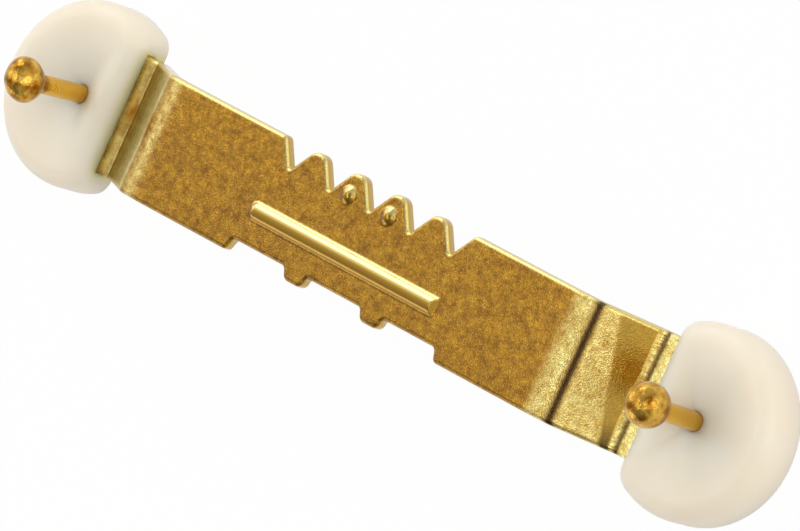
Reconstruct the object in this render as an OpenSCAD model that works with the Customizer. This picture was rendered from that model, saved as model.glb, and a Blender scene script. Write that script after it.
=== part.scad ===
// Sawtooth picture hanger. A strap stamped from brass-plated steel is raised in the middle and
// has five hanging notches. Its two feet sit in side slots of D-shaped nylon bumpers, and a
// ball-headed brass nail is started in each, to be driven down into the picture frame.
//
// Millimetres. X runs along the strap, +Y is the toothed edge, +Z points away from the frame.
// The undersides of the bumpers lie on the frame at z = 0, and x = 0 is the middle notch.

/* [Strap] */
// Width of the strap
strap_w = 8; // [7:0.1:9]
// Thickness of the sheet
strap_t = 0.8; // [0.6:0.05:0.9]
// Height of the raised plate above the feet
plate_rise = 3.1; // [2.6:0.1:3.4]
// Distance between the two upper bends
upper_bend_span = 36.1; // [32:0.1:44]
// Distance along X from an upper bend to the lower bend beside it
riser_run = 3.4; // [3:0.1:3.8]
// Outer radius of the upper bends
upper_bend_r = 2.2; // [1.4:0.1:2.6]
// Inner radius of the lower bends
lower_bend_r = 0.7; // [0.4:0.1:1]
// Bare foot between a lower bend and the flat side of its bumper
bare_foot = 0.95; // [0.6:0.05:2]

/* [Notches] */
// Number of hanging notches in the toothed edge
notch_count = 5; // [3:2:7]
// Distance from notch to notch
notch_pitch = 3.35; // [3:0.01:3.6]
// Depth of a notch
notch_depth = 1.79; // [1.4:0.01:1.9]
// Angle between the two flanks of a notch, in degrees
notch_angle = 68; // [60:1:72]
// Radius at the bottom of a notch
notch_root_r = 0.15; // [0.05:0.05:0.3]
// Radius of the corners of a tooth
tooth_tip_r = 0.75; // [0.2:0.05:0.8]
// Radius of the two shoulders beyond the outer notches
shoulder_r = 0.45; // [0.2:0.05:0.6]

/* [Lower edge] */
// Length of the recess in the lower edge
recess_l = 17.5; // [13:0.1:20]
// Depth of the recess
recess_depth = 0.84; // [0.4:0.02:0.9]
// Length of the slope at each end of the recess
recess_slope = 0.3; // [0.1:0.05:0.6]
// Radius of the corners of the recess
recess_r = 0.35; // [0.1:0.05:0.4]
// Distance between the middles of the two tabs
tab_spacing = 6.4; // [5:0.1:9]
// Width of a tab where it leaves the strap
tab_base_w = 1.85; // [1.6:0.05:2.2]
// Width of a tab at its tip
tab_tip_w = 1.35; // [1.1:0.05:1.5]
// Height of a tab
tab_h = 0.75; // [0.6:0.05:1]
// How far a tab's tip leans to the right
tab_lean = 0.2; // [0:0.05:0.3]
// Radius of the corners of a tab
tab_r = 0.3; // [0.1:0.05:0.4]

/* [Rib and bumps] */
// Length of the raised rib
rib_l = 15.8; // [10:0.1:17]
// Width of the rib
rib_w = 1.3; // [1:0.05:1.8]
// Height of the rib above the plate
rib_h = 0.38; // [0.2:0.02:0.46]
// Distance of the rib's middle from the strap's centre line, towards the lower edge
rib_drop = 1; // [0.8:0.05:1.6]
// Distance of the rib's middle from the middle notch, towards the left
rib_shift = 0.4; // [0:0.1:1]
// Length of the chisel slope at the rib's right end
rib_end_l = 0.7; // [0.3:0.05:1.2]
// Diameter of the two round bumps
bump_d = 1.25; // [0.8:0.05:1.4]
// Height of the bumps above the plate
bump_h = 0.3; // [0.1:0.05:0.4]
// Distance from a tooth's tip down to the middle of its bump
bump_drop = 1.45; // [1.2:0.05:2]

/* [Bumpers] */
// Radius of a bumper's round side, about its nail
bumper_r = 6.05; // [5.6:0.05:6.6]
// Distance from the nail to the bumper's flat side
bumper_flat = 3.35; // [3:0.05:3.8]
// Height of the bumper's rim above the frame
bumper_h = 3.3; // [3.1:0.05:3.8]
// Radius of the corners where the flat side meets the round side
bumper_corner_r = 1.25; // [0.6:0.05:1.6]
// Radius of the rounding outside the rim
rim_r = 1.3; // [0.8:0.05:1.5]
// Radius of the bottom edge
base_edge_r = 0.4; // [0.2:0.05:0.6]
// Depth of the dished top below the rim
dish_depth = 0.95; // [0.6:0.05:1]
// Thickness of nylon under the strap's foot
floor_t = 1.25; // [1:0.05:1.3]

/* [Nails] */
// Diameter of the shank
shank_d = 1.2; // [0.9:0.05:1.4]
// Diameter of the ball head
head_d = 2.9; // [2.4:0.05:3.4]
// Length of a nail from the top of its head to its point
nail_l = 9.1; // [8.4:0.1:9.1]
// Length of the point
point_l = 1.5; // [1:0.1:2.4]
// Height of the left head's centre above the frame, before it is driven
left_head_z = 8.3; // [7.8:0.1:9.6]
// Height of the right head's centre above the frame, before it is driven
right_head_z = 7.8; // [7.8:0.05:9.6]
// Lean of each nail across the strap, in degrees
nail_lean = 2; // [0:0.5:4]

/* [Fits] */
// Gap all round the foot in its slot
slot_gap = 0.05; // [0.02:0.01:0.1]
// Gap round the shank in the nylon
bore_gap = 0.03; // [0.02:0.01:0.06]
// Gap round the shank in the foot's hole
foot_hole_gap = 0.2; // [0.15:0.05:0.4]

/* [Hidden] */

$fn = 64;
// Every cut runs past the faces it opens by this much
overrun = 0.5;
// Straight steps that make up one rounded corner of the strap
corner_steps = 10;
// Points round a bumper's outline: its flat side, each corner and its round side
flat_steps = 8;
fillet_steps = 5;
round_steps = 46;
// Rings up a bumper: bottom edge, rim and dish
edge_rings = 3;
rim_rings = 7;
dish_rings = 9;
// Radius of the blunt end of a nail's point
point_r = shank_d / 12;
// How far each half of the rib's chisel end turns towards its side, in degrees
rib_end_turn = 22;

strap_edge = strap_w / 2;
foot_top = floor_t + strap_t;
plate_z = floor_t + plate_rise;
plate_top = plate_z + strap_t;

// Side view: the outside corners of the bends, and how far the inside ones lie behind them
upper_x = upper_bend_span / 2;
lower_x = upper_x + riser_run;
nail_x = lower_x + bare_foot + bumper_flat;
bend_angle = atan(plate_rise / riser_run);
bend_shift = strap_t * tan(bend_angle / 2);

// Toothed edge: half the width of a notch, and the largest corner that a tooth has room for
notch_half_w = notch_depth * tan(notch_angle / 2);
tooth_flat = notch_pitch - 2 * notch_half_w;
tooth_corner_r = min(tooth_tip_r, tooth_flat / 2 * tan(45 + notch_angle / 4));
recess_y = recess_depth - strap_edge;
tab_x = tab_spacing / 2;

// Rib and bumps: circles that rise through the plate's surface, and the same from behind
rib_y = -rib_drop;
rib_right = rib_l / 2 - rib_shift;
rib_left = -rib_l / 2 - rib_shift;
rib_r = cap_radius(rib_w / 2, rib_h);
bump_x = notch_pitch / 2;
bump_y = strap_edge - bump_drop;
bump_r = cap_radius(bump_d / 2, bump_h);
// The hollow behind a raised form is narrower than the form, by this share
hollow_share = 0.6;
hollow_rib_r = cap_radius(rib_w / 2 * hollow_share, rib_h);
hollow_bump_r = cap_radius(bump_d / 2 * hollow_share, bump_h);

// Nails: their axes turn about the middle of the foot's hole
shank_r = shank_d / 2;
head_r = head_d / 2;
lean_z = floor_t + strap_t / 2;

// Radius of the circle whose cap has this half width and height
function cap_radius(half_w, h) = (pow(half_w, 2) + pow(h, 2)) / (2 * h);

function unit(v) = v / norm(v);
function turned(v, a) = [v.x * cos(a) - v.y * sin(a), v.x * sin(a) + v.y * cos(a)];
function flat_point(c) = [c.x, c.y];

// Points of the arc that rounds one corner, given as [x, y, radius], between its neighbours
function corner_arc(before, corner, after) =
    let (
        p = flat_point(corner),
        r = corner.z,
        u = unit(flat_point(before) - p),
        v = unit(flat_point(after) - p),
        half = acos(u * v) / 2,
        centre = p + unit(u + v) * r / sin(half),
        start = p + u * r / tan(half) - centre,
        sweep = (cross(u, v) > 0 ? -1 : 1) * (180 - 2 * half)
    )
    r == 0 ? [p] : [for (i = [0:corner_steps]) centre + turned(start, sweep * i / corner_steps)];

// A closed outline from its corners, each rounded by its own radius
function rounded(corners) =
    let (n = len(corners))
    [for (i = [0:n - 1]) each corner_arc(corners[(i + n - 1) % n], corners[i], corners[(i + 1) % n])];

// The same corners mirrored to the left, in the order that carries the outline on
function mirrored(corners) =
    [for (i = [len(corners) - 1:-1:0]) [-corners[i].x, corners[i].y, corners[i].z]];

// Right half of the side view in X and Z: over the top to the foot's end, and back underneath
foot_end = nail_x + strap_edge;
side_corners = [
    [upper_x, plate_top, upper_bend_r],
    [lower_x, foot_top, lower_bend_r],
    [foot_end, foot_top, 0],
    [foot_end, floor_t, 0],
    [lower_x - bend_shift, floor_t, lower_bend_r + strap_t],
    [upper_x - bend_shift, plate_z, upper_bend_r - strap_t],
];

// The notches are counted from 0 on the left, and the outer two have a shoulder on one side
function notch_corners(i) =
    let (last = notch_count - 1, x = (i - last / 2) * notch_pitch)
    [
        [x - notch_half_w, strap_edge, i == 0 ? shoulder_r : tooth_corner_r],
        [x, strap_edge - notch_depth, notch_root_r],
        [x + notch_half_w, strap_edge, i == last ? shoulder_r : tooth_corner_r],
    ];

function tab_corners(x) = [
    [x + tab_base_w / 2, recess_y, tab_r],
    [x + tab_lean + tab_tip_w / 2, recess_y - tab_h, tab_r],
    [x + tab_lean - tab_tip_w / 2, recess_y - tab_h, tab_r],
    [x - tab_base_w / 2, recess_y, tab_r],
];

// One end of the recess in the lower edge, on the right
recess_end = [
    [recess_l / 2, -strap_edge, recess_r],
    [recess_l / 2 - recess_slope, recess_y, recess_r],
];

// The strap seen from above, between the nails: toothed edge, then the lower edge with its tabs
plan_corners = concat(
    [[-nail_x, strap_edge, 0]],
    [for (i = [0:notch_count - 1]) each notch_corners(i)],
    [[nail_x, strap_edge, 0], [nail_x, -strap_edge, 0]],
    recess_end,
    tab_corners(tab_x),
    tab_corners(-tab_x),
    mirrored(recess_end),
    [[-nail_x, -strap_edge, 0]]
);

// Outline of a bumper about its nail, flat side towards +X, drawn in by inset
function bumper_outline(inset) =
    let (
        r = bumper_r - inset,
        flat = bumper_flat - inset,
        x = flat - bumper_corner_r,
        y = sqrt(pow(r - bumper_corner_r, 2) - pow(x, 2)),
        meet = atan2(y, x),
        corner = [bumper_corner_r, 0]
    )
    concat(
        [for (i = [0:flat_steps - 1]) [flat, y * (2 * i / flat_steps - 1)]],
        [for (i = [0:fillet_steps - 1]) [x, y] + turned(corner, meet * i / fillet_steps)],
        [for (i = [0:round_steps - 1]) turned([r, 0], meet + (360 - 2 * meet) * i / round_steps)],
        [for (i = [0:fillet_steps - 1]) [x, -y] + turned(corner, meet * (i / fillet_steps - 1))]
    );

// The rim's crest drawn in to a share of its size, and rounder towards the nail
function dish_outline(share) =
    [for (p = bumper_outline(rim_r)) share * (share * p + (1 - share) * (bumper_flat - rim_r) * unit(p))];

function ring(outline, z) = [for (p = outline) [p.x, p.y, z]];

// Rings of a bumper from the bottom edge, over the rim and down into the dish
bumper_rings = concat(
    [for (i = [0:edge_rings]) let (a = 90 * i / edge_rings)
        ring(bumper_outline(base_edge_r * (1 - sin(a))), base_edge_r * (1 - cos(a)))],
    [for (i = [0:rim_rings]) let (a = 90 * i / rim_rings)
        ring(bumper_outline(rim_r * (1 - cos(a))), bumper_h - rim_r * (1 - sin(a)))],
    [for (i = [1:dish_rings - 1]) let (share = 1 - i / dish_rings)
        ring(dish_outline(share), bumper_h - dish_depth * (1 + cos(180 * share)) / 2)]
);

module hanger_strap() {
    color("goldenrod")
    difference() {
        union() {
            intersection() {
                strap_side();
                strap_plan();
            }
            rib();
            for (side = [-1, 1]) bump(side * bump_x);
        }
        rib_hollow();
        for (side = [-1, 1]) {
            bump_hollow(side * bump_x);
            translate([side * nail_x, 0, floor_t - overrun])
                cylinder(r = shank_r + foot_hole_gap, h = strap_t + 2 * overrun);
        }
    }
}

// The bent strip, wider than the strap, so that the plan view cuts its edges
module strap_side() {
    rotate([90, 0, 0])
        linear_extrude(height = 2 * strap_w, center = true)
            polygon(rounded(concat(side_corners, mirrored(side_corners))));
}

// The blank's outline with round ends about the nails, higher than the strap
module strap_plan() {
    linear_extrude(height = plate_top + overrun) {
        polygon(rounded(plan_corners));
        for (side = [-1, 1]) translate([side * nail_x, 0]) circle(r = strap_edge);
    }
}

// The pressed rib: a round-backed ridge with a ball end on the left and a chisel end on the right
module rib() {
    intersection() {
        translate([0, rib_y, plate_top + rib_h - rib_r]) {
            translate([rib_left + rib_w / 2, 0, 0]) {
                rotate([0, 90, 0]) cylinder(r = rib_r, h = rib_l - rib_w / 2);
                sphere(r = rib_r);
            }
        }
        translate([rib_left - overrun, rib_y - rib_w, plate_top - strap_t / 2])
            cube([rib_l + 2 * overrun, 2 * rib_w, strap_t + rib_h]);
        for (side = [-1, 1]) rib_end_plane(side);
    }
}

// All that lies behind one of the two slopes that form the chisel end
module rib_end_plane(side) {
    slope = atan(rib_end_l / rib_h);
    translate([rib_right, rib_y, plate_top])
        rotate([0, 0, side * rib_end_turn])
            rotate([0, -slope, 0])
                translate([-2 * rib_l, -rib_l, -rib_l])
                    cube([2 * rib_l, 2 * rib_l, 2 * rib_l]);
}

module rib_hollow() {
    translate([rib_left + rib_w / 2, rib_y, plate_z + rib_h - hollow_rib_r]) {
        rotate([0, 90, 0]) cylinder(r = hollow_rib_r, h = rib_l - rib_w / 2 - rib_end_l);
        sphere(r = hollow_rib_r);
    }
}

module bump(x) {
    intersection() {
        translate([x, bump_y, plate_top + bump_h - bump_r]) sphere(r = bump_r);
        translate([x - bump_r, bump_y - bump_r, plate_top - strap_t / 2])
            cube([2 * bump_r, 2 * bump_r, strap_t / 2 + bump_h + overrun]);
    }
}

module bump_hollow(x) {
    translate([x, bump_y, plate_z + bump_h - hollow_bump_r]) sphere(r = hollow_bump_r);
}

// One bumper about its nail, flat side towards +X, with the slot for the foot and the nail's bore
module bumper() {
    difference() {
        bumper_body();
        translate([0, 0, floor_t - slot_gap])
            linear_extrude(height = strap_t + 2 * slot_gap) {
                circle(r = strap_edge + slot_gap);
                translate([0, -strap_edge - slot_gap])
                    square([bumper_flat + overrun, strap_w + 2 * slot_gap]);
            }
        leaning(nail_lean)
            translate([0, 0, -overrun])
                cylinder(r = shank_r + bore_gap, h = bumper_h + 2 * overrun);
    }
}

// The moulded body: each ring is joined to the next, with a flat base and the dish closed on top
module bumper_body() {
    n = len(bumper_rings[0]);
    last = len(bumper_rings) - 1;
    middles = [[0, 0, 0], [0, 0, bumper_h - dish_depth]];
    points = concat([for (r = bumper_rings) each r], middles);
    base_middle = (last + 1) * n;
    walls = [for (k = [0:last - 1], i = [0:n - 1])
        let (a = k * n + i, b = k * n + (i + 1) % n)
        each [[a, a + n, b + n], [a, b + n, b]]];
    base = [for (i = [0:n - 1]) [i, (i + 1) % n, base_middle]];
    top = [for (i = [0:n - 1]) [last * n + (i + 1) % n, last * n + i, base_middle + 1]];
    polyhedron(points = points, faces = concat(base, walls, top));
}

// Leans its children across the strap, about the middle of the foot's hole
module leaning(angle) {
    translate([0, 0, lean_z])
        rotate([angle, 0, 0])
            translate([0, 0, -lean_z])
                children();
}

// One nail on its own axis, with the head's centre at this height above the frame
module nail(head_z) {
    tip_z = head_z + head_r - nail_l;
    leaning(nail_lean) {
        translate([0, 0, tip_z]) cylinder(r1 = point_r, r2 = shank_r, h = point_l);
        translate([0, 0, tip_z + point_l]) cylinder(r = shank_r, h = head_z - tip_z - point_l);
        translate([0, 0, head_z]) sphere(r = head_r);
    }
}

module left_bumper() {
    color("ivory") translate([-nail_x, 0, 0]) bumper();
}

module right_bumper() {
    color("ivory") translate([nail_x, 0, 0]) rotate([0, 0, 180]) bumper();
}

module left_nail() {
    color("gold") translate([-nail_x, 0, 0]) nail(left_head_z);
}

module right_nail() {
    color("gold") translate([nail_x, 0, 0]) rotate([0, 0, 180]) nail(right_head_z);
}

hanger_strap();
left_bumper();
right_bumper();
left_nail();
right_nail();
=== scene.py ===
import math

import bmesh
import bpy
from mathutils import Matrix, Vector, noise
from mathutils.geometry import delaunay_2d_cdt
from mathutils.kdtree import KDTree


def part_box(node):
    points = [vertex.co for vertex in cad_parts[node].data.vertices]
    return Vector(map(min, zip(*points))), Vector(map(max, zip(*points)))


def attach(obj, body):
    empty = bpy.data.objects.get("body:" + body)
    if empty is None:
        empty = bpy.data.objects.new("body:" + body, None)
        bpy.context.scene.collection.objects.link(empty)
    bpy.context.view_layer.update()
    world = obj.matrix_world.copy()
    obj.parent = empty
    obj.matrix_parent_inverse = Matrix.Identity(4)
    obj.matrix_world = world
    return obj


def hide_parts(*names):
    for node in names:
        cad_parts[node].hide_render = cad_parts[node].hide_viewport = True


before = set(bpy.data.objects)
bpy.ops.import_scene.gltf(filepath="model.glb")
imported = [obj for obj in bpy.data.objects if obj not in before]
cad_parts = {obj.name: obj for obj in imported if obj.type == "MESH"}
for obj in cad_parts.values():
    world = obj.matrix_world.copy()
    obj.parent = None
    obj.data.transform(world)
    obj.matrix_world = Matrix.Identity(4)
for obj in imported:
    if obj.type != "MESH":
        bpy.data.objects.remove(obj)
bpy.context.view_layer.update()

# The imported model's box, kept from before any piece is hidden or added.
MM = 0.001
scene = bpy.context.scene
strap_low, strap_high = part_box("hanger_strap")


# Camera. The photo looks down on the part from its right end, a little from the toothed side,
# from about 46 cm with a long lens, and the camera is rolled so that the strap falls to the right.
AZIMUTH, ELEVATION, ROLL = 34.94, 5.55, 24.32
DISTANCE = 459.2 * MM
FOCAL = 340.3
AIM_RIGHT, AIM_UP, AIM_HEIGHT = 1.89 * MM, -0.13 * MM, 3.0 * MM

azimuth, elevation, roll = map(math.radians, (AZIMUTH, ELEVATION, ROLL))
back = Vector((
    math.sin(azimuth) * math.cos(elevation),
    math.sin(elevation),
    math.cos(azimuth) * math.cos(elevation),
))
right = Vector((0, 1, 0)).cross(back).normalized()
up = back.cross(right)
aim = Vector((0, 0, AIM_HEIGHT)) + AIM_RIGHT * right + AIM_UP * up

camera = bpy.data.objects.new("camera", bpy.data.cameras.new("camera"))
scene.collection.objects.link(camera)
camera.data.lens = FOCAL
camera.data.clip_start, camera.data.clip_end = 0.01, 10
turned_right = math.cos(roll) * right + math.sin(roll) * up
turned_up = math.cos(roll) * up - math.sin(roll) * right
axes = Matrix((turned_right, turned_up, back)).transposed()
camera.matrix_world = Matrix.Translation(aim + DISTANCE * back) @ axes.to_4x4()
scene.camera = camera


# Studio. A plain grey room, darkest overhead, with six soft lamps where the nail heads, the bends and
# the strap's grain mirror them, over a pale table that the camera and the metal see as white paper.
ROOM_DARK, ROOM_LIGHT = 0.46, 0.98
# Its shade changes between these two directions across the strap,
ROOM_DARK_Y, ROOM_LIGHT_Y = -0.9, 0.4
# and it is darkest overhead and lightest low down at both ends: how far to the side each begins, and
# its share
OVERHEAD_X, OVERHEAD_SHARE = 0.10, 0.5
SIDE_X, SIDE_SHARE = 0.70, 1.12
LAMP_DISTANCE = 0.6
# Each lamp: the direction it shines from, its width and height as seen from the part in degrees,
# and its brightness, where 1 is white paper
LAMPS = {
    "key": ((-0.56, 0.72, 0.36), 20, 30, 1.9),
    "side": ((0.858, 0.290, 0.428), 22, 22, 2.1),
    "overhead": ((-0.26, -0.13, 0.957), 40, 13, 2.1),
    "left": ((-0.83, 0.08, 0.55), 34, 9, 2.2),
    "low": ((-0.57, -0.80, 0.19), 34, 18, 1.3),
    "right": ((0.52, -0.02, 0.85), 20, 20, 1.7),
}
FLOOR_SIZE = 2.0
FLOOR_COLOUR = "#F4F2EE"
# How much of the floor's shade the camera sees
SHADE_SHARE = 0.03


def linear(hex_colour):
    """A written sRGB colour as the linear red, green, blue and alpha that the shaders take."""
    parts = [int(hex_colour[i:i + 2], 16) / 255 for i in (1, 3, 5)]
    return (*(p / 12.92 if p <= 0.04045 else ((p + 0.055) / 1.055) ** 2.4 for p in parts), 1.0)


def add(tree, kind, inputs=None, **settings):
    """Adds a node with its settings, and fills each input with a value or a link."""
    node = tree.nodes.new(kind)
    for name, value in settings.items():
        setattr(node, name, value)
    for socket, value in (inputs or {}).items():
        if isinstance(value, bpy.types.NodeSocket):
            tree.links.new(value, node.inputs[socket])
        else:
            node.inputs[socket].default_value = value
    return node


scene.view_settings.view_transform = "Standard"
world = bpy.data.worlds.new("grey_room")
world.use_nodes = True
tree = world.node_tree
seen_way = add(tree, "ShaderNodeSeparateXYZ", {0: add(tree, "ShaderNodeTexCoord").outputs["Generated"]})
shade = add(tree, "ShaderNodeMapRange", {
    "Value": seen_way.outputs["Y"], "From Min": ROOM_DARK_Y, "From Max": ROOM_LIGHT_Y,
    "To Min": ROOM_DARK, "To Max": ROOM_LIGHT,
}, interpolation_type="SMOOTHSTEP")
sideways = add(tree, "ShaderNodeMath", {0: seen_way.outputs["X"]}, operation="ABSOLUTE")
growth = add(tree, "ShaderNodeMapRange", {
    "Value": sideways.outputs[0], "From Min": OVERHEAD_X, "From Max": SIDE_X,
    "To Min": OVERHEAD_SHARE, "To Max": SIDE_SHARE,
}, interpolation_type="SMOOTHSTEP")
room = add(tree, "ShaderNodeMath", {0: shade.outputs["Result"], 1: growth.outputs["Result"]},
           operation="MULTIPLY")
tree.links.new(room.outputs[0], tree.nodes["Background"].inputs["Strength"])
tree.nodes["Background"].inputs["Color"].default_value = (1, 1, 1, 1)
scene.world = world

for lamp_name, (direction, wide, high, brightness) in LAMPS.items():
    lamp = bpy.data.lights.new(lamp_name, "AREA")
    lamp.shape = "RECTANGLE"
    lamp.size = 2 * LAMP_DISTANCE * math.tan(math.radians(wide / 2))
    lamp.size_y = 2 * LAMP_DISTANCE * math.tan(math.radians(high / 2))
    lamp.energy = brightness * math.pi * lamp.size * lamp.size_y
    holder = bpy.data.objects.new(lamp_name, lamp)
    scene.collection.objects.link(holder)
    towards = Vector(direction).normalized()
    facing = towards.to_track_quat("Z", "Y").to_matrix().to_4x4()
    holder.matrix_world = Matrix.Translation(LAMP_DISTANCE * towards) @ facing

floor_paper = bpy.data.materials.new("floor_paper")
floor_paper.use_nodes = True
tree = floor_paper.node_tree
tree.nodes.clear()
path = add(tree, "ShaderNodeLightPath")
seen_direct = add(tree, "ShaderNodeMath", {
    0: path.outputs["Is Camera Ray"], 1: path.outputs["Is Glossy Ray"],
}, operation="MAXIMUM")
seen = add(tree, "ShaderNodeMath", {
    0: seen_direct.outputs[0], 1: path.outputs["Is Transmission Ray"],
}, operation="MAXIMUM")
paper = add(tree, "ShaderNodeBsdfDiffuse", {"Color": linear(FLOOR_COLOUR)})
white = add(tree, "ShaderNodeEmission", {"Color": (1, 1, 1, 1)})
shaded = add(tree, "ShaderNodeMixShader", {0: SHADE_SHARE, 1: white.outputs[0], 2: paper.outputs[0]})
surface = add(tree, "ShaderNodeMixShader", {0: seen.outputs[0], 1: paper.outputs[0], 2: shaded.outputs[0]})
# From below, the table is not there, so that the part's underside can be looked at
side = add(tree, "ShaderNodeNewGeometry")
clear = add(tree, "ShaderNodeBsdfTransparent")
table = add(tree, "ShaderNodeMixShader", {
    0: side.outputs["Backfacing"], 1: surface.outputs[0], 2: clear.outputs[0],
})
add(tree, "ShaderNodeOutputMaterial", {"Surface": table.outputs[0]})

floor_mesh = bpy.data.meshes.new("floor")
half = FLOOR_SIZE / 2
floor_corners = [(-half, -half, 0), (half, -half, 0), (half, half, 0), (-half, half, 0)]
floor_mesh.from_pydata(floor_corners, [], [(0, 1, 2, 3)])
floor_mesh.materials.append(floor_paper)
floor = bpy.data.objects.new("floor", floor_mesh)
scene.collection.objects.link(floor)


# Bumpers. Two mouldings of natural ivory nylon, round about the nail and cut flat on the strap's
# side, with a soft rim and a dished top. Each has a slot for the strap's foot and a bore that the
# nail is pushed down.
BUMPER_R, BUMPER_FLAT = 6.05 * MM, 3.35 * MM
BUMPER_CORNER_R, RIM_R, BASE_EDGE_R = 1.25 * MM, 1.3 * MM, 0.4 * MM
DISH_DEPTH = 0.95 * MM
SHEET = 0.8 * MM
SLOT_GAP, BORE_GAP = 0.05 * MM, 0.03 * MM
SHANK_R = 0.6 * MM
NAIL_LEAN = math.radians(2)
OUTLINE_STEPS, EDGE_STEPS, RIM_STEPS, DISH_STEPS = 160, 6, 14, 22
# The bore's cutter reaches well past the bumper both ways
BORE_CUT_L = 12 * MM

# The nylon is a little cloudy inside. The grain of its mould is drawn coarse enough to show, with
# this relief.
CLOUD_SIZE, MOULD_GRAIN, MOULD_RELIEF = 3.5 * MM, 0.45 * MM, 0.012 * MM
# How deep light spreads in it
LIGHT_DEPTH = 2.0 * MM
# How far the brass foot's painted reflection reaches on the nylon beside it: in from the nail's line, up, and
# its fade
PAINTED_GLOW_IN, PAINTED_GLOW_UP, PAINTED_GLOW_FADE = 2.8 * MM, 0.9 * MM, 0.6 * MM
nail_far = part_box("right_bumper")[0].x + BUMPER_FLAT

foot_low = strap_low.z
foot_high = foot_low + SHEET
strap_half_w = (strap_high.y - strap_low.y) / 2


def nylon():
    """Moulded nylon 6/6: waxy ivory, lit a little from inside, with the faint grain of its mould, and a
    painted yellow reflection of the brass foot on its flat wall.
    """
    material = bpy.data.materials.new("moulded_nylon")
    material.use_nodes = True
    tree = material.node_tree
    shader = tree.nodes["Principled BSDF"]
    place = add(tree, "ShaderNodeTexCoord").outputs["Object"]
    cloudy = add(tree, "ShaderNodeTexNoise", {"Vector": place, "Scale": 1 / CLOUD_SIZE, "Detail": 3})
    tint = add(tree, "ShaderNodeMix", {
        "Factor": cloudy.outputs["Fac"], "A": linear("#FCE2CA"), "B": linear("#FFEBDA"),
    }, data_type="RGBA")
    # Painted reflection: the flat wall just above the foot is painted yellow where the brass would light it
    split = add(tree, "ShaderNodeSeparateXYZ", {0: place})
    near = []
    painted_glow_reach = (
        ("X", nail_far - PAINTED_GLOW_IN, nail_far - PAINTED_GLOW_IN + PAINTED_GLOW_FADE),
        ("Y", strap_half_w, strap_half_w + PAINTED_GLOW_FADE),
        ("Z", foot_high, foot_high + PAINTED_GLOW_UP),
    )
    for axis, start, end in painted_glow_reach:
        size = add(tree, "ShaderNodeMath", {0: split.outputs[axis]}, operation="ABSOLUTE")
        near.append(add(tree, "ShaderNodeMapRange", {
            "Value": size.outputs[0], "From Min": start, "From Max": end, "To Min": 1, "To Max": 0,
        }, interpolation_type="SMOOTHSTEP"))
    beside = add(tree, "ShaderNodeMath", {0: near[0].outputs["Result"], 1: near[1].outputs["Result"]},
                 operation="MULTIPLY")
    painted_glow = add(tree, "ShaderNodeMath", {0: beside.outputs[0], 1: near[2].outputs["Result"]},
               operation="MULTIPLY")
    lit = add(tree, "ShaderNodeMix", {
        "Factor": painted_glow.outputs[0], "A": tint.outputs["Result"], "B": linear("#FFE8A4"),
    }, data_type="RGBA")
    tree.links.new(lit.outputs["Result"], shader.inputs["Base Color"])
    grain = add(tree, "ShaderNodeTexNoise", {"Vector": place, "Scale": 1 / MOULD_GRAIN, "Detail": 4})
    bump = add(tree, "ShaderNodeBump", {
        "Height": grain.outputs["Fac"], "Distance": MOULD_RELIEF, "Strength": 0.6,
    })
    tree.links.new(bump.outputs[0], shader.inputs["Normal"])
    shader.inputs["Roughness"].default_value = 0.38
    shader.inputs["IOR"].default_value = 1.53
    shader.inputs["Subsurface Weight"].default_value = 1.0
    shader.inputs["Subsurface Radius"].default_value = (1.0, 0.9, 0.8)
    shader.inputs["Subsurface Scale"].default_value = LIGHT_DEPTH
    return material


def d_outline(inset):
    """The bumper's outline drawn in by inset, flat side towards +X, about the nail."""
    r, flat = BUMPER_R - inset, BUMPER_FLAT - inset
    corner_x = flat - BUMPER_CORNER_R
    corner_y = math.sqrt((r - BUMPER_CORNER_R) ** 2 - corner_x ** 2)
    meet = math.atan2(corner_y, corner_x)
    straight, corner, round_side = 2 * corner_y, BUMPER_CORNER_R * meet, 2 * r * (math.pi - meet)
    total = straight + 2 * corner + round_side
    points = []
    for i in range(OUTLINE_STEPS):
        along = total * i / OUTLINE_STEPS
        if along < straight:
            points.append(Vector((flat, along - corner_y)))
            continue
        along -= straight
        if along < corner:
            turn = along / BUMPER_CORNER_R
            points.append(Vector((corner_x + BUMPER_CORNER_R * math.cos(turn),
                                  corner_y + BUMPER_CORNER_R * math.sin(turn))))
            continue
        along -= corner
        if along < round_side:
            turn = meet + along / r
            points.append(Vector((r * math.cos(turn), r * math.sin(turn))))
            continue
        turn = (along - round_side) / BUMPER_CORNER_R - meet
        points.append(Vector((corner_x + BUMPER_CORNER_R * math.cos(turn),
                              BUMPER_CORNER_R * math.sin(turn) - corner_y)))
    return points


def bumper_rings(height):
    """Rings from the bottom edge up the wall, over the rim and down into the dish."""
    rings = []
    for i in range(EDGE_STEPS + 1):
        a = math.pi / 2 * i / EDGE_STEPS
        rings.append((d_outline(BASE_EDGE_R * (1 - math.sin(a))), BASE_EDGE_R * (1 - math.cos(a))))
    for i in range(RIM_STEPS + 1):
        a = math.pi / 2 * i / RIM_STEPS
        rings.append((d_outline(RIM_R * (1 - math.cos(a))), height - RIM_R * (1 - math.sin(a))))
    crest = d_outline(RIM_R)
    crest_flat = BUMPER_FLAT - RIM_R
    for i in range(1, DISH_STEPS):
        share = 1 - i / DISH_STEPS
        drawn_in = [share * (share * p + (1 - share) * crest_flat * p.normalized()) for p in crest]
        rings.append((drawn_in, height - DISH_DEPTH * (1 + math.cos(math.pi * share)) / 2))
    return rings


def cutter(name, mesh_maker):
    """A closed solid that is taken out of a bumper."""
    bm = bmesh.new()
    mesh_maker(bm)
    bmesh.ops.recalc_face_normals(bm, faces=bm.faces)
    mesh = bpy.data.meshes.new(name)
    bm.to_mesh(mesh)
    bm.free()
    solid = bpy.data.objects.new(name, mesh)
    scene.collection.objects.link(solid)
    return solid


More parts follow.
